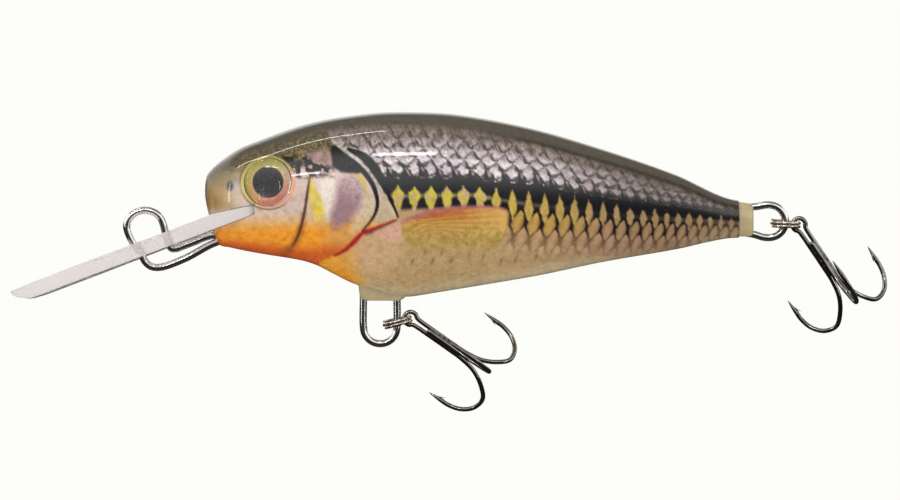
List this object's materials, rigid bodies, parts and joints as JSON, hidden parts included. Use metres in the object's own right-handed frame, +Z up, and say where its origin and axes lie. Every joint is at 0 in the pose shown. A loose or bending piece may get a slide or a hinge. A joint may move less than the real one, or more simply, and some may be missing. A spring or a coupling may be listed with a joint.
{
  "type": "crankbait lure",
  "caption": "Deep-diving crankbait lure: printed shad-shaped body, clear sloping lip, wire line tie, and a treble hook swinging on a split ring at belly and tail.",
  "frame": {"origin": "centre of the line-tie wire loop above the diving lip", "axes": "+X from the lip towards the tail, +Z up towards the back, +Y towards the lure's right side"},
  "size_m": [0.1126, 0.0155, 0.0385],
  "materials": {
    "body_foam": "satin",
    "print_film": "gloss",
    "clear_lip": "clear gloss",
    "harness_wire": "bright",
    "ballast": "dull",
    "eye_print": "gloss",
    "eye_bead": "clear gloss",
    "ring_nickel": "bright",
    "hook_black_nickel": "gloss",
    "braze": "satin"
  },
  "bodies": {
    "lure": {"left_body_half": "body_foam", "right_body_half": "body_foam", "left_print_film": "print_film", "right_print_film": "print_film", "diving_lip": "clear_lip", "wire_harness": "harness_wire", "ballast_weight": "ballast", "left_eye_disc": "eye_print", "right_eye_disc": "eye_print", "left_eye_dome": "eye_bead", "right_eye_dome": "eye_bead"},
    "belly_ring": {"belly_split_ring": "ring_nickel"},
    "belly_treble": {"belly_double_hook": "hook_black_nickel", "belly_single_hook": "hook_black_nickel", "belly_braze": "braze"},
    "tail_ring": {"tail_split_ring": "ring_nickel"},
    "tail_treble": {"tail_double_hook": "hook_black_nickel", "tail_single_hook": "hook_black_nickel", "tail_braze": "braze"}
  },
  "joints": [
    {"name": "belly_ring_swivel", "type": "hinge", "parent": "lure", "child": "belly_ring", "pos_m": [0.0324, 0, -0.0123], "axis": [0, 0, 1], "range_deg": [-75, 75]},
    {"name": "belly_hook_swing", "type": "hinge", "parent": "belly_ring", "child": "belly_treble", "pos_m": [0.03416, 0, -0.01188], "axis": [0, 1, 0], "range_deg": [-20, 60]},
    {"name": "tail_ring_swivel", "type": "hinge", "parent": "lure", "child": "tail_ring", "pos_m": [0.0822, 0, 0.00025], "axis": [0, 0, 1], "range_deg": [-75, 75]},
    {"name": "tail_hook_swing", "type": "hinge", "parent": "tail_ring", "child": "tail_treble", "pos_m": [0.08396, 0, 0.00013], "axis": [0, 1, 0], "range_deg": [-150, 50]}
  ]
}
